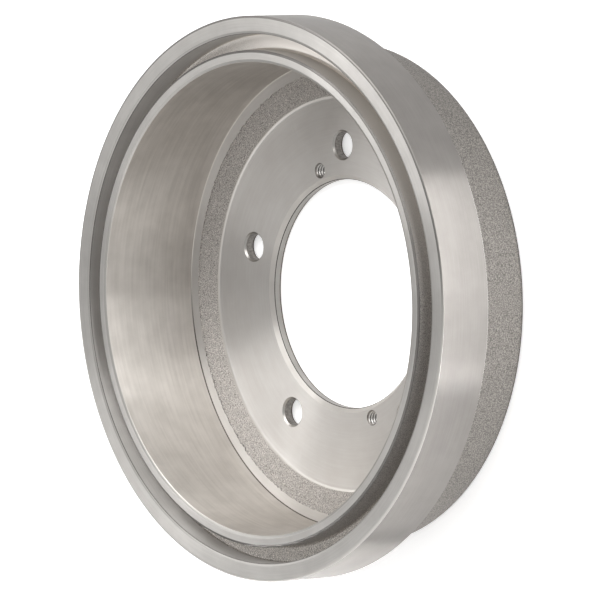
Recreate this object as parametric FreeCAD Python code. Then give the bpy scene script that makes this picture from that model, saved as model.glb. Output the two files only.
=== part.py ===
import FreeCAD, Part
import math
import os

# Brake drum for a light truck: one grey iron casting, turned where the shoes, the hub and the backing plate meet it.
# The drum stands on its wheel side at z = 0, with its axis on Z and its mouth upwards. Lengths are in millimetres.

# Drum barrel
braking_diameter = 320.0
braking_length = 77.2
overall_height = 90.7
body_wall = 11.0

# Mouth: guide ring, labyrinth groove and outer lip, from the inside outwards
ring_wall = 8.0
ring_rise = 0.7
groove_width = 11.0
groove_depth = 18.0
lip_wall = 12.25
lip_length = 40.0
lip_draft = 1.0

# Closed end: machined shoulder, cast web, machined flange and bore, from the barrel inwards
shoulder_width = 7.7
shoulder_step = 0.8
web_step = 1.2
web_step_width = 2.5
flange_thickness = 9.0
flange_face_diameter = 265.0
mount_face_diameter = 268.0
back_recess = 0.6
bore_diameter = 156.5

# Stud holes and the two threaded holes that jack the drum off its hub
stud_count = 5
stud_circle_diameter = 203.2
stud_hole_diameter = 18.5
jack_count = 2
jack_circle_diameter = 175.0
jack_hole_diameter = 8.5
jack_offset_deg = 16.0

# Slopes at the mouth, wider than they are deep, that lead the shoes and the backing plate in
ring_inner_slope = 2.0
ring_outer_slope = 1.5
ring_slope_depth = 0.9
lip_inner_slope = 2.0
lip_outer_slope = 1.4
lip_slope_depth = 0.6

# Edges: a bevel on every small corner, and the mould's own rounding at the root of the lip
lip_back_bevel = 0.6
bore_front_bevel = 3.0
bore_back_bevel = 1.0
stud_hole_bevel = 1.2
jack_hole_bevel = 1.1
groove_outer_bevel = 1.5
groove_inner_bevel = 2.0
body_corner_bevel = 2.0
shoulder_bevel = 0.8
lip_root_rounding = 5.0

# Radii and heights that follow from the sizes above
braking_radius = braking_diameter / 2
body_radius = braking_radius + body_wall
ring_radius = braking_radius + ring_wall
groove_outer_radius = ring_radius + groove_width
lip_radius = groove_outer_radius + lip_wall
lip_face = overall_height - ring_rise
groove_floor = lip_face - groove_depth
lip_underside = lip_face - lip_length
shoulder = overall_height - braking_length
shoulder_radius = braking_radius - shoulder_width
flange_face_radius = flange_face_diameter / 2
mount_face_radius = mount_face_diameter / 2
bore_radius = bore_diameter / 2
overshoot = 5.0


def sharp(radius, height):
    """Profile corner that stays sharp."""
    return FreeCAD.Vector(radius, 0, height), "sharp", 0.0


def bevelled(radius, height, size):
    """Profile corner cut off by the same length along both of its sides."""
    return FreeCAD.Vector(radius, 0, height), "bevel", size


def rounded(radius, height, rounding):
    """Profile corner rounded by an arc that is tangent to both of its sides."""
    return FreeCAD.Vector(radius, 0, height), "round", rounding


def corner_points(before, corner, after, kind, size):
    """Points that stand for one corner: itself, a bevel's two ends, or an arc's start, middle and end."""
    to_before = (before - corner).normalize()
    to_after = (after - corner).normalize()
    if kind == "sharp":
        return [corner]
    if kind == "bevel":
        return [corner + to_before * size, corner + to_after * size]
    half_angle = to_before.getAngle(to_after) / 2
    reach = size / math.tan(half_angle)
    inwards = (to_before + to_after).normalize()
    middle = corner + inwards * (size / math.sin(half_angle) - size)
    return [corner + to_before * reach, middle, corner + to_after * reach]


def turned_solid(corners):
    """Closed profile through the corners, turned once round the Z axis."""
    places = [place for place, kind, size in corners]
    stretches = []
    for index, (place, kind, size) in enumerate(corners):
        after = places[(index + 1) % len(places)]
        stretches.append(corner_points(places[index - 1], place, after, kind, size))
    edges = []
    for index, points in enumerate(stretches):
        if len(points) == 2:
            edges.append(Part.makeLine(points[0], points[1]))
        if len(points) == 3:
            edges.append(Part.Arc(*points).toShape())
        following = stretches[(index + 1) % len(stretches)]
        edges.append(Part.makeLine(points[-1], following[0]))
    face = Part.Face(Part.Wire(edges))
    return face.revolve(FreeCAD.Vector(0, 0, 0), FreeCAD.Vector(0, 0, 1), 360)


def drum_blank():
    """The drum without its stud and jack holes."""
    return turned_solid([
        bevelled(bore_radius, 0, bore_back_bevel),
        sharp(mount_face_radius, 0),
        sharp(mount_face_radius + back_recess, back_recess),
        bevelled(body_radius, back_recess, body_corner_bevel),
        rounded(body_radius, lip_underside - lip_draft, lip_root_rounding),
        bevelled(lip_radius, lip_underside, lip_back_bevel),
        sharp(lip_radius, lip_face - lip_slope_depth),
        sharp(lip_radius - lip_outer_slope, lip_face),
        sharp(groove_outer_radius + lip_inner_slope, lip_face),
        sharp(groove_outer_radius, lip_face - lip_slope_depth),
        bevelled(groove_outer_radius, groove_floor, groove_outer_bevel),
        bevelled(ring_radius, groove_floor, groove_inner_bevel),
        sharp(ring_radius, overall_height - ring_slope_depth),
        sharp(ring_radius - ring_outer_slope, overall_height),
        sharp(braking_radius + ring_inner_slope, overall_height),
        sharp(braking_radius, overall_height - ring_slope_depth),
        bevelled(braking_radius, shoulder, shoulder_bevel),
        sharp(shoulder_radius, shoulder),
        sharp(shoulder_radius, shoulder - shoulder_step),
        sharp(flange_face_radius + web_step_width, flange_thickness + web_step),
        sharp(flange_face_radius, flange_thickness),
        bevelled(bore_radius, flange_thickness, bore_front_bevel),
    ])


def hole_cutter(hole_diameter, bevel):
    """What a drill and a countersink take out of the flange: a cylinder that flares at both faces."""
    radius = hole_diameter / 2
    flare = radius + bevel + overshoot
    return turned_solid([
        sharp(0, -overshoot),
        sharp(flare, -overshoot),
        sharp(radius, bevel),
        sharp(radius, flange_thickness - bevel),
        sharp(flare, flange_thickness + overshoot),
        sharp(0, flange_thickness + overshoot),
    ])


def hole_ring(count, circle_diameter, first_deg, hole_diameter, bevel):
    """Equal hole cutters at equal angles round the axis."""
    cutters = []
    for index in range(count):
        angle = math.radians(first_deg + 360.0 * index / count)
        cutter = hole_cutter(hole_diameter, bevel)
        cutter.translate(FreeCAD.Vector(math.cos(angle), math.sin(angle), 0) * (circle_diameter / 2))
        cutters.append(cutter)
    return cutters


def brake_drum():
    """The whole casting with its holes."""
    stud_holes = hole_ring(stud_count, stud_circle_diameter, 0.0, stud_hole_diameter, stud_hole_bevel)
    jack_holes = hole_ring(jack_count, jack_circle_diameter, jack_offset_deg, jack_hole_diameter, jack_hole_bevel)
    return drum_blank().cut(stud_holes + jack_holes)


os.makedirs("parts", exist_ok=True)
brake_drum().exportStep("parts/brake_drum.step")
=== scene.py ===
import math

import bmesh
import bpy
import numpy as np
from mathutils import Matrix, Vector


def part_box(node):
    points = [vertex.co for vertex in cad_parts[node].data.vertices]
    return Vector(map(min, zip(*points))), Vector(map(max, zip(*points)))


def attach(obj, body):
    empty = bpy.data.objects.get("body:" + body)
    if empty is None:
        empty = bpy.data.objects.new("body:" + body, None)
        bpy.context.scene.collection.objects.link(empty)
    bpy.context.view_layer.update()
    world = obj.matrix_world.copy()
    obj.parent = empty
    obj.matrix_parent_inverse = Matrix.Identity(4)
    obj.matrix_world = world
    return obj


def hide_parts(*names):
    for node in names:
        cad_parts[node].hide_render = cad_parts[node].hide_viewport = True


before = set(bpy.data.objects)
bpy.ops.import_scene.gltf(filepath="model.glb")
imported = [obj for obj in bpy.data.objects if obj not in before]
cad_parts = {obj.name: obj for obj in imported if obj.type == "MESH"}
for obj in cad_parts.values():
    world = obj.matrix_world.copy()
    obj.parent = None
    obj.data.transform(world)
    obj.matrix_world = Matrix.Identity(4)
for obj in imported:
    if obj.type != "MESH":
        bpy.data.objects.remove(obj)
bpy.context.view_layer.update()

# A brake drum of bare grey iron, turned on its working faces and as cast elsewhere. It stands on its
# wheel side at z = 0 with its mouth up. Sizes are in millimetres, and the meshes are made in metres.
MM = 0.001
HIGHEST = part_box("brake_drum")[1]
LIP_RADIUS = HIGHEST.x / MM
OVERALL_HEIGHT = HIGHEST.z / MM

# Barrel and mouth, from the inside outwards
BRAKING_RADIUS = 160.0
RING_WALL = 8.0
GROOVE_WIDTH = 11.0
BODY_WALL = 11.0
RING_RISE = 0.7
GROOVE_DEPTH = 18.0
LIP_LENGTH = 40.0
LIP_DRAFT = 1.0
RING_RADIUS = BRAKING_RADIUS + RING_WALL
GROOVE_OUTER_RADIUS = RING_RADIUS + GROOVE_WIDTH
BODY_RADIUS = BRAKING_RADIUS + BODY_WALL
LIP_FACE = OVERALL_HEIGHT - RING_RISE
GROOVE_FLOOR = LIP_FACE - GROOVE_DEPTH
LIP_UNDERSIDE = LIP_FACE - LIP_LENGTH

# Slopes at the mouth: how far they run in along the radius, and how deep they go
RING_INNER_SLOPE = 2.0
RING_OUTER_SLOPE = 1.5
RING_SLOPE_DEPTH = 0.9
LIP_INNER_SLOPE = 2.0
LIP_OUTER_SLOPE = 1.4
LIP_SLOPE_DEPTH = 0.6

# Closed end: shoulder, cast web, turned flange and centre bore
BRAKING_LENGTH = 77.2
SHOULDER_WIDTH = 7.7
SHOULDER_STEP = 0.8
SHOULDER = OVERALL_HEIGHT - BRAKING_LENGTH
SHOULDER_RADIUS = BRAKING_RADIUS - SHOULDER_WIDTH
FLANGE_THICKNESS = 9.0
FLANGE_FACE_RADIUS = 132.5
WEB_STEP = 1.2
WEB_STEP_WIDTH = 2.5
MOUNT_FACE_RADIUS = 134.0
BACK_RECESS = 0.6
BORE_RADIUS = 78.25
BORE_FRONT_BEVEL = 3.0
BORE_BACK_BEVEL = 1.0

# Lengths that a rounding or small bevel takes off both sides of a corner
WEB_EDGE = 0.5
SHOULDER_CORNER = 0.6
HONED_EDGE = 0.3
SLOPE_EDGE = 0.2
GROOVE_INNER_FILLET = 2.5
GROOVE_OUTER_FILLET = 1.5
GROOVE_EDGE = 0.4
BAND_EDGE = 0.15
LIP_BACK_BEVEL = 0.6
LIP_ROOT_FILLET = 5.0
BACK_ROUNDING = 1.4

# Holes: stud holes on their circle, and threaded jack holes between them and the bore
STUD_CIRCLE_RADIUS = 101.6
STUD_HOLE_RADIUS = 9.25
STUD_HOLE_BEVEL = 1.2
JACK_CIRCLE_RADIUS = 87.5
JACK_CORE_RADIUS = 4.25
JACK_HOLE_BEVEL = 1.1
JACK_ANGLE = 16.0

# Sectors of the flange in degrees: start and end, and for one with a hole the angle of the hole
STUD_SECTORS = ((348, 368, 360), (60, 84, 72), (132, 156, 144), (204, 228, 216), (276, 300, 288))
JACK_SECTORS = ((8, 24, JACK_ANGLE), (188, 204, JACK_ANGLE + 180))
PLAIN_SECTORS = ((24, 60), (84, 132), (156, 188), (228, 276), (300, 348))

# The real thread is M10 x 1.5. Its turns are drawn half as far apart again, because the picture can't
# show them closer. Root and crest are shares of half a turn, counted from the middle of a root.
THREAD_PITCH = 2.25
THREAD_DEPTH = 0.85
THREAD_ROOT = 0.125
THREAD_CREST = 0.75

# Width of the painted shade line at the foot of a bevel or countersink
DARK_LINE = 0.8

# The cutter left the shoulder's inner edge uneven where it ran out on the cast web: by how much, and
# the fewest and the most waves round the drum
SHOULDER_RAGGED = 0.3
SHOULDER_WAVES = (60, 330)
RAGGED_SEED = 5

# Lumps of the sand-cast skin: layers of (width in steps of the grid, share), and the spread of their
# height
GRAIN_LAYERS = ((0.35, 0.9), (0.9, 0.35), (3.5, 0.6))
GRAIN_HEIGHT = 0.05
GRAIN_SEED = 11

# Direction towards which the groove's cast skin is painted light, with its lumps flattened, and the
# distances from the axis, in metres, between which the painted light takes over
PAINTED_LIGHT_SIDE = (0.87, -0.5, 0.0)
PAINTED_LIGHT_FROM = 0.08
PAINTED_LIGHT_TO = 0.15

# Grids: columns round the drum, rows from a hole's rim to its sector's outline, steps along a sector's
# side, and rows of the thread
COLUMNS = 720
PATCH_ROWS = 3
SIDE_STEPS = 6
THREAD_ROWS = 60

# Points nearer to each other than this become one, and edges that turn by more degrees stay sharp
WELD_DISTANCE = 0.01
SHARP_ANGLE = 30

# Skins in the order of the casting's material slots
(TURNED, FLANGE, BAND, HONED, BORED, SLOPE, BEVEL, CORNER, LIP_EDGE, DARK_EDGE, LIGHT_EDGE, PAINTED_SHADE_LINE,
 GROOVE_WALL, GROOVE_BED, WEB, CAST, DRILLED, THREADED) = range(18)

# Feed marks are 0.3 mm apart on the real drum, and drawn three times as far apart so that they show.
# Round the drum a mark keeps its tone for about a fifth of a radius.
FEED_MARK = 0.9
MARKS_ROUND = 5.0
MARK_DEPTH = 0.01
MARK_STRENGTH = 0.06

# Finer marks run together on the flange and the braking surface, and show as broader, softer rings
FLANGE_MARK = 1.4
FLANGE_MARKS_ROUND = 4.0
HONED_MARK = 2.2
HONED_MARKS_ROUND = 3.0

# Sizes of the soft mottle that graphite gives, of the drags of a drill, and of the lumps of cast skin,
# which are half as wide on the real drum
MOTTLE = 14
DRAG = 1.6
SKIN_LUMP = 0.65
OUTSIDE_LUMP = 0.85

# Values of a noise that stand for its hollows and its crests, and the same for two noises added up
NOISE_LOW = 0.35
NOISE_HIGH = 0.65
SUM_LOW = 0.75
SUM_HIGH = 1.25

# Blasted cast skin is a little less metallic than cut iron, because some scale stays in its hollows
CAST_METALLIC = 0.9

# Turn of the reflection, in whole turns, that lays it across the cut
ACROSS_THE_CUT = 0.25

# Half the width, in metres, of the zone where a corner's painted light turns to painted shade
PAINTED_LIGHT_CHANGE = 0.03


def skin_grain(rows, columns):
    """Lumps of a sand-cast skin on a grid that wraps round the drum: white noise, smoothed by bell
    curves of three widths and added up, and scaled so that its spread is one."""
    random = np.random.default_rng(GRAIN_SEED)
    across = np.fft.fftfreq(rows)[:, None]
    around = np.fft.rfftfreq(columns)[None, :]
    total = np.zeros((rows, columns))
    for width, share in GRAIN_LAYERS:
        bell = np.exp(-2 * (math.pi * width) ** 2 * (across ** 2 + around ** 2))
        noise = np.fft.rfft2(random.standard_normal((rows, columns)))
        layer = np.fft.irfft2(noise * bell, s=(rows, columns))
        total += share * layer / layer.std()
    return total / total.std()


def ragged_line(columns):
    """Uneven line round the drum: sines of the fewest to the most waves, with seeded sizes and phases,
    so that it closes on itself. Its spread is one."""
    random = np.random.default_rng(RAGGED_SEED)
    angle = np.linspace(0, 2 * math.pi, columns, endpoint=False)
    waves = np.arange(*SHOULDER_WAVES)[:, None]
    sizes = random.standard_normal(waves.shape)
    line = (sizes * np.sin(waves * angle + random.uniform(0, 2 * math.pi, waves.shape))).sum(axis=0)
    return line / line.std()


def corner_points(before, corner, after, cut, steps):
    """One corner of a section: the corner itself, or a cut of the same length along both of its sides.
    With one step the cut is straight, and with more it is the circular arc that touches both sides,
    written as a rational curve whose middle weight is the sine of half the corner's angle."""
    if cut == 0:
        return corner[None, :]
    to_before = (before - corner) / np.linalg.norm(before - corner)
    to_after = (after - corner) / np.linalg.norm(after - corner)
    weight = math.sqrt((1 - to_before @ to_after) / 2)
    s = np.linspace(0, 1, steps + 1)[:, None]
    shares = (1 - s) ** 2, 2 * s * (1 - s) * weight, s ** 2
    ends = corner + to_before * cut, corner, corner + to_after * cut
    return sum(share * end for share, end in zip(shares, ends)) / sum(shares)


def section(corners):
    """Points of a section and the skin of each stretch between two of them. A corner is (radius, height,
    cut, steps of the cut, skin of the cut, rows of the stretch that follows, skin of that stretch)."""
    places = np.array([corner[:2] for corner in corners])
    points = [places[:1]]
    skins = []
    for k in range(1, len(corners)):
        rows, skin = corners[k - 1][5:]
        cut, steps, cut_skin = corners[k][2:5]
        turn = corner_points(places[k - 1], places[k], places[min(k + 1, len(corners) - 1)], cut, steps)
        share = np.linspace(0, 1, rows + 1)[1:, None]
        straight = points[-1][-1] * (1 - share) + turn[0] * share
        points.append(np.concatenate([straight, turn[1:]]))
        skins += [skin] * rows + [cut_skin] * (len(turn) - 1)
    return np.concatenate(points), np.array(skins)


def turned_sheet(points, skins):
    """Surface of revolution: each point of the section goes once round the axis. Points between two cast
    stretches are pushed out along the section's normal by the grain, and the shoulder's inner edge
    wanders in and out."""
    along = np.gradient(points, axis=0)
    normal = np.column_stack([-along[:, 1], along[:, 0]])
    normal /= np.linalg.norm(normal, axis=1)[:, None]
    rough = np.isin(skins, (WEB, CAST))
    cast = np.concatenate([[False], rough[1:] & rough[:-1], [False]])
    push = skin_grain(len(points), COLUMNS) * cast[:, None] * GRAIN_HEIGHT
    ragged = np.isclose(points[:, :1], SHOULDER_RADIUS) * SHOULDER_RAGGED * ragged_line(COLUMNS)
    radius = points[:, :1] + normal[:, :1] * push + ragged
    height = points[:, 1:] + normal[:, 1:] * push
    angle = np.radians(np.arange(COLUMNS) * 360.0 / COLUMNS)
    sheet = np.stack([radius * np.cos(angle), radius * np.sin(angle), height], axis=-1)
    return np.concatenate([sheet, sheet[:, :1]], axis=1), skins


def polar(radius, degrees, height):
    """Points at the given radius, angle and height, as arrays or single numbers."""
    radius, degrees, height = np.broadcast_arrays(radius, degrees, height)
    angle = np.radians(degrees)
    return np.stack([radius * np.cos(angle), radius * np.sin(angle), height], axis=-1).astype(float)


def degrees_of(start, end):
    """Angles of the drum's columns from start to end, both included."""
    return start + np.arange(round((end - start) * COLUMNS / 360.0) + 1) * 360.0 / COLUMNS


def plain_sector(start, end, inner, outer, height):
    """Flat stretch of the flange between two angles, with straight rows from its inner to its outer
    circle."""
    radius = np.linspace(inner, outer, SIDE_STEPS + 1)[:, None]
    sheet = polar(radius, degrees_of(start, end)[None, :], height)
    return sheet, np.full(SIDE_STEPS, FLANGE)


def sector_outline(start, end, inner, outer, height):
    """Closed line round a sector: out along its inner arc, up one side, back along its outer arc and
    down the other."""
    degrees = degrees_of(start, end)
    side = np.linspace(inner, outer, SIDE_STEPS + 1)
    return np.concatenate([
        polar(inner, degrees, height),
        polar(side[1:], end, height),
        polar(outer, degrees[::-1][1:], height),
        polar(side[::-1][1:], start, height)])


def rim_angles(start, end, centre_deg):
    """Angles of the points of a hole's rim, one for each point of its sector's outline and evenly
    spaced. The one that faces the drum's axis belongs to the outline's point on the same spoke."""
    across = len(degrees_of(start, end)) - 1
    count = 2 * (across + SIDE_STEPS)
    facing = (centre_deg - start) * COLUMNS / 360.0
    return centre_deg + 180.0 - (np.arange(count + 1) - facing) * 360.0 / count


def holed_sector(start, end, inner, outer, height, centre, rim_radius, angles):
    """Flat stretch of the flange with a hole: straight blend from the hole's rim to the sector's
    outline."""
    rim = centre + polar(rim_radius, angles, 0.0) + [0, 0, height]
    outline = sector_outline(start, end, inner, outer, height)
    share = np.linspace(0, 1, PATCH_ROWS + 1)[:, None, None]
    return rim * (1 - share) + outline * share, np.full(PATCH_ROWS, FLANGE)


def hole_wall(centre, angles, radius, bevel):
    """Drilled wall with a countersink at each face. Its radius follows the height: straight, with a flare
    of 45 degrees in the last stretch. Above the far countersink the wall has a dark line of painted shade."""
    stops = [FLANGE_THICKNESS, FLANGE_THICKNESS - bevel, bevel + DARK_LINE, bevel, 0.0]
    height = np.array(stops)[:, None]
    depth = np.minimum(height, FLANGE_THICKNESS - height)
    wall = radius + np.maximum(bevel - depth, 0)
    return centre + polar(wall, angles[None, :], height), np.array([SLOPE, DRILLED, PAINTED_SHADE_LINE, DRILLED])


def threaded_wall(centre, angles, radius, bevel):
    """Internal thread with a countersink at each face. The share of a turn that a point is away from the
    middle of a root rises along the helix; the root and the crest are flat and the flank between them is
    straight. The countersink's cone wins where it is wider."""
    height = np.linspace(FLANGE_THICKNESS, 0.0, THREAD_ROWS + 1)[:, None]
    turn = (height / THREAD_PITCH - angles[None, :] / 360.0) % 1.0
    from_root = np.abs(turn - 0.5) * 2
    tooth = np.clip((from_root - THREAD_ROOT) / (THREAD_CREST - THREAD_ROOT), 0, 1)
    depth = np.minimum(height, FLANGE_THICKNESS - height)
    cone = radius + np.maximum(bevel - depth, 0)
    wall = np.maximum(radius + THREAD_DEPTH * (1 - tooth), cone)
    wall[[0, -1]] = radius + bevel
    middle = (height[1:, 0] + height[:-1, 0]) / 2
    skins = np.where(middle > FLANGE_THICKNESS - bevel, DRILLED, THREADED)
    return centre + polar(wall, angles[None, :], height), skins


def shell_section():
    """Section of the casting from the edge of the flange's inner face, over the mouth and down the
    outside, to the edge of the wheel face."""
    web_start = FLANGE_FACE_RADIUS + WEB_STEP_WIDTH
    half_way = FLANGE_FACE_RADIUS + WEB_STEP_WIDTH / 2
    ring_side = OVERALL_HEIGHT - RING_SLOPE_DEPTH
    lip_side = LIP_FACE - LIP_SLOPE_DEPTH
    return section([
        (FLANGE_FACE_RADIUS, FLANGE_THICKNESS, 0, 0, FLANGE, 1, FLANGE),
        (half_way, FLANGE_THICKNESS + WEB_STEP / 2, 0, 0, LIGHT_EDGE, 1, LIGHT_EDGE),
        (web_start, FLANGE_THICKNESS + WEB_STEP, WEB_EDGE, 2, LIGHT_EDGE, 12, WEB),
        (SHOULDER_RADIUS, SHOULDER - SHOULDER_STEP, 0, 0, WEB, 1, WEB),
        (SHOULDER_RADIUS, SHOULDER, 0, 0, FLANGE, 1, FLANGE),
        (BRAKING_RADIUS, SHOULDER, SHOULDER_CORNER, 3, CORNER, 4, HONED),
        (BRAKING_RADIUS, ring_side, HONED_EDGE, 2, LIGHT_EDGE, 1, SLOPE),
        (BRAKING_RADIUS + RING_INNER_SLOPE, OVERALL_HEIGHT, SLOPE_EDGE, 2, TURNED, 1, TURNED),
        (RING_RADIUS - RING_OUTER_SLOPE, OVERALL_HEIGHT, SLOPE_EDGE, 2, BAND, 1, BAND),
        (RING_RADIUS, ring_side, SLOPE_EDGE, 2, BAND, 1, GROOVE_WALL),
        (RING_RADIUS, GROOVE_FLOOR, GROOVE_INNER_FILLET, 3, GROOVE_BED, 3, GROOVE_BED),
        (GROOVE_OUTER_RADIUS, GROOVE_FLOOR, GROOVE_OUTER_FILLET, 2, GROOVE_BED, 1, TURNED),
        (GROOVE_OUTER_RADIUS, lip_side, GROOVE_EDGE, 2, DARK_EDGE, 1, SLOPE),
        (GROOVE_OUTER_RADIUS + LIP_INNER_SLOPE, LIP_FACE, SLOPE_EDGE, 2, TURNED, 1, TURNED),
        (LIP_RADIUS - LIP_OUTER_SLOPE, LIP_FACE, SLOPE_EDGE, 2, LIP_EDGE, 1, LIP_EDGE),
        (LIP_RADIUS, lip_side, BAND_EDGE, 2, LIP_EDGE, 1, BAND),
        (LIP_RADIUS, LIP_UNDERSIDE, LIP_BACK_BEVEL, 1, TURNED, 5, CAST),
        (BODY_RADIUS, LIP_UNDERSIDE - LIP_DRAFT, LIP_ROOT_FILLET, 5, CAST, 18, CAST),
        # The rounding at the foot of the outside is a thin dark line of painted shade
        (BODY_RADIUS, BACK_RECESS, BACK_ROUNDING, 2, PAINTED_SHADE_LINE, 10, CAST),
        (MOUNT_FACE_RADIUS + BACK_RECESS, BACK_RECESS, 0, 0, TURNED, 1, TURNED),
        (MOUNT_FACE_RADIUS, 0.0, 0, 0, TURNED, 1, TURNED)])


def bore_section():
    """Section of the centre bore from the edge of the wheel face to the edge of the flange's inner face,
    with a dark line of painted shade at the foot of each bevel."""
    bevel_foot = FLANGE_THICKNESS - BORE_FRONT_BEVEL
    return section([
        (BORE_RADIUS + BORE_BACK_BEVEL, 0.0, 0, 0, TURNED, 1, TURNED),
        (BORE_RADIUS, BORE_BACK_BEVEL, 0, 0, TURNED, 1, PAINTED_SHADE_LINE),
        (BORE_RADIUS, BORE_BACK_BEVEL + DARK_LINE, 0, 0, BORED, 1, BORED),
        (BORE_RADIUS, bevel_foot, 0, 0, PAINTED_SHADE_LINE, 1, PAINTED_SHADE_LINE),
        (BORE_RADIUS + DARK_LINE / 2, bevel_foot + DARK_LINE / 2, 0, 0, BEVEL, 1, BEVEL),
        (BORE_RADIUS + BORE_FRONT_BEVEL, FLANGE_THICKNESS, 0, 0, FLANGE, 1, FLANGE)])


def flange_sheets():
    """Both faces of the flange, sector by sector, with the walls of the holes between them."""
    faces = ((BORE_RADIUS + BORE_FRONT_BEVEL, FLANGE_FACE_RADIUS, FLANGE_THICKNESS),
             (BORE_RADIUS + BORE_BACK_BEVEL, MOUNT_FACE_RADIUS, 0.0))
    sheets = [plain_sector(start, end, *face) for start, end in PLAIN_SECTORS for face in faces]
    kinds = ((STUD_SECTORS, STUD_CIRCLE_RADIUS, STUD_HOLE_RADIUS, STUD_HOLE_BEVEL, hole_wall),
             (JACK_SECTORS, JACK_CIRCLE_RADIUS, JACK_CORE_RADIUS, JACK_HOLE_BEVEL, threaded_wall))
    for sectors, circle_radius, radius, bevel, wall in kinds:
        for start, end, centre_deg in sectors:
            angles = rim_angles(start, end, centre_deg)
            centre = polar(circle_radius, centre_deg, 0.0)
            for face in faces:
                sheets.append(holed_sector(start, end, *face, centre, radius + bevel, angles))
            sheets.append(wall(centre, angles, radius, bevel))
    return sheets


def mesh_from_sheets(name, sheets):
    """One closed mesh from grids of points: four-sided faces row by row, welded where two grids meet."""
    vertices, faces, skins = [], [], []
    first = 0
    for sheet, row_skins in sheets:
        rows, columns = sheet.shape[:2]
        index = first + np.arange(rows * columns).reshape(rows, columns)
        quads = np.stack([index[:-1, :-1], index[:-1, 1:], index[1:, 1:], index[1:, :-1]], axis=-1)
        vertices.append(sheet.reshape(-1, 3))
        faces.append(quads.reshape(-1, 4))
        skins.append(np.repeat(row_skins, columns - 1))
        first += rows * columns
    mesh = bpy.data.meshes.new(name)
    mesh.from_pydata(np.concatenate(vertices) * MM, [], np.concatenate(faces))
    mesh.polygons.foreach_set("material_index", np.concatenate(skins).astype(np.int32))
    mesh.update()
    form = bmesh.new()
    form.from_mesh(mesh)
    bmesh.ops.remove_doubles(form, verts=form.verts, dist=WELD_DISTANCE * MM)
    bmesh.ops.recalc_face_normals(form, faces=form.faces)
    form.to_mesh(mesh)
    form.free()
    mesh.shade_smooth()
    mesh.set_sharp_from_angle(angle=math.radians(SHARP_ANGLE))
    return mesh


def colour(hex_code):
    """Linear red, green, blue and alpha of an sRGB hex code."""
    parts = [int(hex_code[k:k + 2], 16) / 255 for k in (1, 3, 5)]
    return [c / 12.92 if c <= 0.04045 else ((c + 0.055) / 1.055) ** 2.4 for c in parts] + [1.0]


def add(tree, kind, links=None, inputs=None, **settings):
    """Adds one node: settings are its own properties, inputs are values of its sockets, and links feed
    its sockets from other nodes' outputs."""
    node = tree.nodes.new(kind)
    for name, value in settings.items():
        setattr(node, name, value)
    for name, value in (inputs or {}).items():
        node.inputs[name].default_value = value
    for name, output in (links or {}).items():
        tree.links.new(output, node.inputs[name])
    return node


def new_material(name):
    """Material with a principled shader and nothing else, as (material, tree, shader)."""
    material = bpy.data.materials.new(name)
    material.use_nodes = True
    tree = material.node_tree
    tree.nodes.clear()
    shader = add(tree, "ShaderNodeBsdfPrincipled")
    add(tree, "ShaderNodeOutputMaterial", {"Surface": shader.outputs["BSDF"]})
    return material, tree, shader


def iron(name, roughness, metallic=1.0):
    """Material of bare iron and the places on it, as (material, tree, shader, place)."""
    material, tree, shader = new_material(name)
    shader.inputs["Roughness"].default_value = roughness
    shader.inputs["Metallic"].default_value = metallic
    return material, tree, shader, add(tree, "ShaderNodeTexCoord").outputs["Object"]


def draw_out(tree, shader, place, share):
    """Draws a shader's reflection out across a cut that runs round the drum. The cut's direction is
    square to both the place and the drum's axis."""
    cut = add(tree, "ShaderNodeVectorMath", {0: place}, {1: (0, 0, 1)}, operation="CROSS_PRODUCT")
    tree.links.new(cut.outputs[0], shader.inputs["Tangent"])
    shader.inputs["Anisotropic"].default_value = share
    shader.inputs["Anisotropic Rotation"].default_value = ACROSS_THE_CUT


def lathe_coordinates(tree, place, mark, marks_round):
    """Coordinates that follow a cutting tool round the drum. Across the cut they count marks of the
    given width, along radius and height alike. Round the drum they move on a small circle, so that a
    mark is long and closes on itself."""
    flat = add(tree, "ShaderNodeVectorMath", {0: place}, {1: (1, 1, 0)}, operation="MULTIPLY").outputs[0]
    spoke = add(tree, "ShaderNodeVectorMath", {0: flat}, operation="NORMALIZE").outputs[0]
    radius = add(tree, "ShaderNodeVectorMath", {0: flat}, operation="LENGTH").outputs["Value"]
    height = add(tree, "ShaderNodeSeparateXYZ", {0: place}).outputs["Z"]
    across = add(tree, "ShaderNodeMath", {0: radius, 1: height}, operation="SUBTRACT").outputs[0]
    count = add(tree, "ShaderNodeMath", {0: across}, {1: 1 / (mark * MM)}, operation="MULTIPLY").outputs[0]
    lift = add(tree, "ShaderNodeCombineXYZ", {"Z": count}).outputs[0]
    circle = add(tree, "ShaderNodeVectorMath", {0: spoke}, {"Scale": marks_round}, operation="SCALE")
    return add(tree, "ShaderNodeVectorMath", {0: circle.outputs[0], 1: lift}, operation="ADD").outputs[0]


def tint(tree, factor, low, high, dark, light):
    """Colour between dark and light as the factor goes from low to high."""
    spread = add(tree, "ShaderNodeMapRange", {"Value": factor}, {"From Min": low, "From Max": high})
    ends = {"A": colour(dark), "B": colour(light)}
    mixed = add(tree, "ShaderNodeMix", {"Factor": spread.outputs[0]}, ends, data_type="RGBA")
    return mixed.outputs["Result"]


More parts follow.
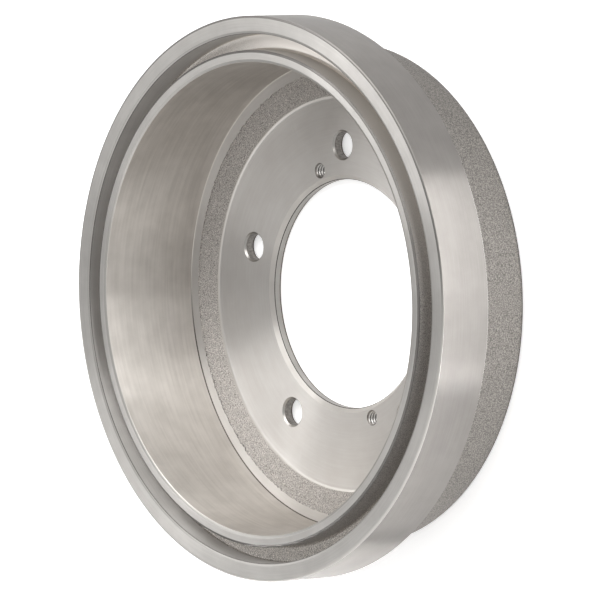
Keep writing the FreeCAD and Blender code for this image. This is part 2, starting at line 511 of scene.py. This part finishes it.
def turned_iron(name, mark, marks_round, dark, light, roughness, drawn_out):
    """Grey iron turned on a lathe. Concentric tool marks draw a reflection out across the cut and keep
    it sharp along the cut, so that a soft lamp ends in an edge that runs from one rim to the other. The
    marks are seen as faint rings in tone, and the graphite in the iron as a soft mottle."""
    material, tree, shader, place = iron(name, roughness)
    marks = lathe_coordinates(tree, place, mark, marks_round)
    rings = add(tree, "ShaderNodeTexNoise", {"Vector": marks}, {"Scale": 1.0, "Detail": 3.0}).outputs["Fac"]
    grain = {"Scale": 1 / (MOTTLE * MM), "Detail": 3.0}
    mottle = add(tree, "ShaderNodeTexNoise", {"Vector": place}, grain).outputs["Fac"]
    both = add(tree, "ShaderNodeMath", {0: rings, 1: mottle}, operation="ADD").outputs[0]
    tree.links.new(tint(tree, both, SUM_LOW, SUM_HIGH, dark, light), shader.inputs["Base Color"])
    depth = {"Strength": MARK_STRENGTH, "Distance": MARK_DEPTH * MM}
    bump = add(tree, "ShaderNodeBump", {"Height": rings}, depth)
    tree.links.new(bump.outputs[0], shader.inputs["Normal"])
    draw_out(tree, shader, place, drawn_out)
    return material


def cast_iron(name, dark, light, lump, lump_height, painted_light_share, drawn_out, roughness):
    """Grey iron as it leaves a sand mould, blasted: lumps under a millimetre wide with light crests and
    dark hollows, and a dull metal sheen. Towards the side of painted light the given share of the lumps is
    flattened, and the colour is painted as light as the crests."""
    material, tree, shader, place = iron(name, roughness, CAST_METALLIC)
    grain = {"Scale": 1 / (lump * MM), "Detail": 1.0}
    lumps = add(tree, "ShaderNodeTexNoise", {"Vector": place}, grain).outputs["Fac"]
    side = add(tree, "ShaderNodeVectorMath", {0: place}, {1: PAINTED_LIGHT_SIDE}, operation="DOT_PRODUCT")
    ends = {"From Min": PAINTED_LIGHT_FROM, "From Max": PAINTED_LIGHT_TO, "To Min": 0.0, "To Max": painted_light_share}
    painted_light_mask = add(tree, "ShaderNodeMapRange", {"Value": side.outputs["Value"]}, ends).outputs[0]
    skin = add(tree, "ShaderNodeMix", {"Factor": painted_light_mask, "A": lumps}, {"B": NOISE_HIGH}).outputs["Result"]
    tree.links.new(tint(tree, skin, NOISE_LOW, NOISE_HIGH, dark, light), shader.inputs["Base Color"])
    bump = add(tree, "ShaderNodeBump", {"Height": skin}, {"Strength": 1.0, "Distance": lump_height * MM})
    tree.links.new(bump.outputs[0], shader.inputs["Normal"])
    draw_out(tree, shader, place, drawn_out)
    return material


def painted_light_corner_iron(name, lower, upper):
    """Turned corner with painted light and shade: its colour goes from lower, towards -X, to upper, towards
    +X, in a short zone across the drum."""
    material, tree, shader, place = iron(name, 0.34)
    side = add(tree, "ShaderNodeSeparateXYZ", {0: place}).outputs["X"]
    tone = tint(tree, side, -PAINTED_LIGHT_CHANGE, PAINTED_LIGHT_CHANGE, lower, upper)
    tree.links.new(tone, shader.inputs["Base Color"])
    return material


def drilled_iron(name, dark, light):
    """Drilled iron, as the tool left it: dull, and mottled where chips have dragged along the wall."""
    material, tree, shader, place = iron(name, 0.5)
    grain = {"Scale": 1 / (DRAG * MM), "Detail": 2.0}
    drags = add(tree, "ShaderNodeTexNoise", {"Vector": place}, grain).outputs["Fac"]
    tree.links.new(tint(tree, drags, NOISE_LOW, NOISE_HIGH, dark, light), shader.inputs["Base Color"])
    return material


def tapped_iron_painted_light(name, crest, root):
    """Iron with a cut thread: painted highlight on the crests and painted shade in the roots. The colour
    follows the distance from the hole's axis. Both jack holes lie on one line through the drum's axis, so
    the absolute value of the place along that line serves both."""
    material, tree, shader, place = iron(name, 0.35)
    a = math.radians(JACK_ANGLE)
    spoke, square = (math.cos(a), math.sin(a), 0), (-math.sin(a), math.cos(a), 0)
    line = add(tree, "ShaderNodeVectorMath", {0: place}, {1: spoke}, operation="DOT_PRODUCT")
    beside = add(tree, "ShaderNodeVectorMath", {0: place}, {1: square}, operation="DOT_PRODUCT")
    out = add(tree, "ShaderNodeMath", {0: line.outputs["Value"]}, operation="ABSOLUTE").outputs[0]
    past = add(tree, "ShaderNodeMath", {0: out}, {1: JACK_CIRCLE_RADIUS * MM}, operation="SUBTRACT")
    sides = {"X": past.outputs[0], "Y": beside.outputs["Value"]}
    spot = add(tree, "ShaderNodeCombineXYZ", sides).outputs[0]
    away = add(tree, "ShaderNodeVectorMath", {0: spot}, operation="LENGTH").outputs["Value"]
    top, bottom = JACK_CORE_RADIUS * MM, (JACK_CORE_RADIUS + THREAD_DEPTH) * MM
    tree.links.new(tint(tree, away, top, bottom, crest, root), shader.inputs["Base Color"])
    return material


def casting():
    """The whole drum as one closed mesh."""
    sheets = [turned_sheet(*shell_section()), turned_sheet(*bore_section())]
    mesh = mesh_from_sheets("drum_casting", sheets + flange_sheets())
    piece = bpy.data.objects.new("drum_casting", mesh)
    bpy.context.scene.collection.objects.link(piece)
    skins = (
        # Faces of the ring and the lip, outer wall of the groove and wheel face, turned: a satin grey that
        # flares up in wedges where a lamp stands square to the cut
        turned_iron("turned_grey_iron", FEED_MARK, MARKS_ROUND, "#C2BFBB", "#CCC9C5", 0.42, 1.0),
        # Flange and shoulder, turned with a finer feed: lighter, and with broader, softer rings
        turned_iron("turned_flange", FLANGE_MARK, FLANGE_MARKS_ROUND, "#CCC8C4", "#D1CECA", 0.44, 1.0),
        # Outer band and outer slope of the ring, turned: base colour darkened as painted shade that stands
        # in for a dark reflection, with one bright patch whose edge runs straight across the band
        turned_iron("turned_outer_band_painted_shade", FEED_MARK, MARKS_ROUND, "#726F6C", "#787572", 0.36, 1.0),
        # Braking surface, bored and honed: warm, with broad soft rings and a bright patch low on the
        # left
        turned_iron("honed_braking_surface", HONED_MARK, HONED_MARKS_ROUND, "#C4BFB9", "#D3CEC8", 0.36,
                    1.0),
        # Wall of the centre bore, bored with a blunter tool: a duller grey
        turned_iron("bored_wall", FEED_MARK, MARKS_ROUND, "#A3A09C", "#ADAAA6", 0.4, 1.0),
        # Inner slopes of the ring and the lip and countersinks, cut with the tool's flank: its marks are
        # too faint to draw a lamp out, so they turn from dark to bright round the drum
        turned_iron("turned_slope", FEED_MARK, MARKS_ROUND, "#A8A5A1", "#AFACA8", 0.34, 0.0),
        # Inner bevel of the centre bore, cut last with a fresh tool: lighter than the flange around it
        turned_iron("turned_bevel", FEED_MARK, MARKS_ROUND, "#CECAC5", "#D6D2CD", 0.46, 1.0),
        # Foot of the braking surface: a thin line of painted light and shade, bright towards +X and dark
        # towards -X
        painted_light_corner_iron("honed_corner_painted_light", "#5A5550", "#E2DED8"),
        # Outer slope of the lip: a thin line of painted light and shade, light towards -X and dark towards
        # +X
        painted_light_corner_iron("lip_slope_painted_light", "#BDBAB6", "#7B7875"),
        # Groove's edge of the lip: a thin dark outline of painted shade
        turned_iron("painted_shade_edge", FEED_MARK, MARKS_ROUND, "#777471", "#7F7C79", 0.5, 0.5),
        # Corners with painted highlights: thin light lines
        turned_iron("painted_highlight_edge", FEED_MARK, MARKS_ROUND, "#C6C2BC", "#D0CCC7", 0.36, 0.0),
        # Thin dark lines of painted shade: above the far countersink of the stud holes, at the foot of the
        # bore's bevels, and on the rounding at the foot of the outside
        turned_iron("painted_shade_line", FEED_MARK, MARKS_ROUND, "#3F3B38", "#4A4643", 0.5, 0.0),
        # Outside of the guide ring, blasted sand-cast skin: dull grey, with painted light that makes it
        # pale and smooth on one side
        cast_iron("ring_wall_skin_painted_light", "#969290", "#C6C2BD", SKIN_LUMP, 0.05, 1.0, 0.0, 0.52),
        # Bed of the groove, the same skin with deeper lumps: speckled, with painted light that makes it
        # pale on one side
        cast_iron("groove_bed_skin_painted_light", "#8A8580", "#EFEAE4", SKIN_LUMP, 0.4, 1.0, 0.0, 0.45),
        # Web, blasted sand-cast skin that the cutter has brushed: grainy, and lighter where it faces the
        # lamps
        cast_iron("cast_web", "#8D8985", "#DAD5D0", SKIN_LUMP, 0.35, 0.0, 0.85, 0.52),
        # Outside, blasted sand-cast skin: dull mid grey with light crests and dark hollows
        cast_iron("cast_outside", "#4E4C49", "#787470", OUTSIDE_LUMP, 0.5, 0.0, 0.0, 0.62),
        # Stud holes, drilled: dull and mottled
        drilled_iron("drilled_iron", "#7A7672", "#98948F"),
        # Jack holes, tapped: painted highlight on the crests and painted shade in the roots
        tapped_iron_painted_light("tapped_iron_painted_light", "#DCD9D5", "#2E2B29"))
    for material in skins:
        mesh.materials.append(material)
    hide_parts("brake_drum")
    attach(piece, "root")


# Studio, in degrees and metres, with the drum's foot at its middle
CAMERA_AZIMUTH = -87.119
CAMERA_ELEVATION = 40.343
CAMERA_ROLL = -93.259
CAMERA_DISTANCE = 4.7726
CAMERA_LENS = 424.25
CAMERA_REACH = 100

# How far the camera aims past the middle of the lip's face, in millimetres to the picture's right and up
AIM_RIGHT = 30.318
AIM_UP = -0.646

FLOOR_SIZE = 14.0
FLOOR_GLOW = 0.38
SKY_STRENGTH = 0.70
LAMP_DISTANCE = 3.0

# Each lamp has a name, azimuth, elevation, width, height and power in watts. The panels light the flat
# faces, and the strips, low over the floor, give the outer band its bright part and the straight edges
# of it.
LAMPS = (("key_panel", -12, 45, 4.2, 1.4, 66),
         ("front_panel", -68, 13, 2.4, 0.8, 24),
         ("right_panel", 24, 24, 1.6, 1.0, 9),
         ("low_strip", -85, 1.1, 4.5, 0.1, 190),
         ("low_strip_left", -148, 1.1, 4.2, 0.1, 96),
         ("low_strip_back", 150, 1.1, 2.4, 0.1, 90),
         ("left_panel", 140, 50, 1.6, 1.4, 4),
         ("high_left_panel", 180, 64, 1.4, 0.9, 3.5),
         ("rear_panel", 65, 38, 1.6, 1.4, 8))


def direction(azimuth, elevation):
    """Unit vector towards an azimuth and elevation in degrees."""
    a, e = math.radians(azimuth), math.radians(elevation)
    return Vector((math.cos(e) * math.cos(a), math.cos(e) * math.sin(a), math.sin(e)))


def camera_axes():
    """Right, up and back of the camera in the drum's frame. Back points from the drum to the camera, and
    right and up are turned about it by the roll."""
    back = direction(CAMERA_AZIMUTH, CAMERA_ELEVATION)
    roll = math.radians(CAMERA_ROLL)
    level = Vector((0, 0, 1)).cross(back).normalized()
    rise = back.cross(level)
    right = level * math.cos(roll) + rise * math.sin(roll)
    return right, back.cross(right), back


def camera():
    """Long lens, far away, aimed past the middle of the lip's face."""
    right, up, back = camera_axes()
    aim = Vector((0, 0, LIP_FACE * MM)) + right * AIM_RIGHT * MM + up * AIM_UP * MM
    lens = bpy.data.cameras.new("camera")
    lens.lens = CAMERA_LENS
    lens.clip_end = CAMERA_REACH
    seat = bpy.data.objects.new("camera", lens)
    bpy.context.scene.collection.objects.link(seat)
    turn = Matrix((right, up, back)).transposed().to_4x4()
    seat.matrix_world = Matrix.Translation(aim + back * CAMERA_DISTANCE) @ turn
    bpy.context.scene.camera = seat


def lamp(name, azimuth, elevation, width, height, power):
    """Soft panel that faces the drum from the given azimuth and elevation in degrees."""
    light = bpy.data.lights.new(name, "AREA")
    light.shape = "RECTANGLE"
    light.size = width
    light.size_y = height
    light.energy = power
    stand = bpy.data.objects.new(name, light)
    bpy.context.scene.collection.objects.link(stand)
    towards = direction(azimuth, elevation)
    stand.location = towards * LAMP_DISTANCE
    stand.rotation_mode = "QUATERNION"
    stand.rotation_quaternion = towards.to_track_quat("Z", "Y")


def floor():
    """Plain pale floor of matt paint. It glows a little for rays from the camera and for those that a
    shiny or clear surface sends on, so that the background is white and metal shows it so."""
    mesh = bpy.data.meshes.new("floor")
    half = FLOOR_SIZE / 2
    corners = [(-half, -half, 0), (half, -half, 0), (half, half, 0), (-half, half, 0)]
    mesh.from_pydata(corners, [], [(0, 1, 2, 3)])
    plane = bpy.data.objects.new("floor", mesh)
    bpy.context.scene.collection.objects.link(plane)
    material, tree, shader = new_material("matt_pale_paint")
    shader.inputs["Base Color"].default_value = colour("#FCFCFC")
    shader.inputs["Roughness"].default_value = 0.9
    shader.inputs["Specular IOR Level"].default_value = 0.0
    rays = add(tree, "ShaderNodeLightPath").outputs
    either = {0: rays["Is Camera Ray"], 1: rays["Is Glossy Ray"]}
    glossy = add(tree, "ShaderNodeMath", either, operation="ADD").outputs[0]
    any_of_three = {0: glossy, 1: rays["Is Transmission Ray"]}
    seen = add(tree, "ShaderNodeMath", any_of_three, operation="ADD").outputs[0]
    glow = add(tree, "ShaderNodeMath", {0: seen}, {1: FLOOR_GLOW}, operation="MULTIPLY").outputs[0]
    shader.inputs["Emission Color"].default_value = colour("#FFFFFF")
    tree.links.new(glow, shader.inputs["Emission Strength"])
    mesh.materials.append(material)


def studio():
    """Pale floor, soft lamps and an even white sky."""
    floor()
    for panel in LAMPS:
        lamp(*panel)
    world = bpy.data.worlds.new("sky")
    world.use_nodes = True
    sky = world.node_tree.nodes["Background"]
    sky.inputs["Color"].default_value = colour("#FFFFFF")
    sky.inputs["Strength"].default_value = SKY_STRENGTH
    bpy.context.scene.world = world
    bpy.context.scene.view_settings.view_transform = "Standard"


casting()
camera()
studio()
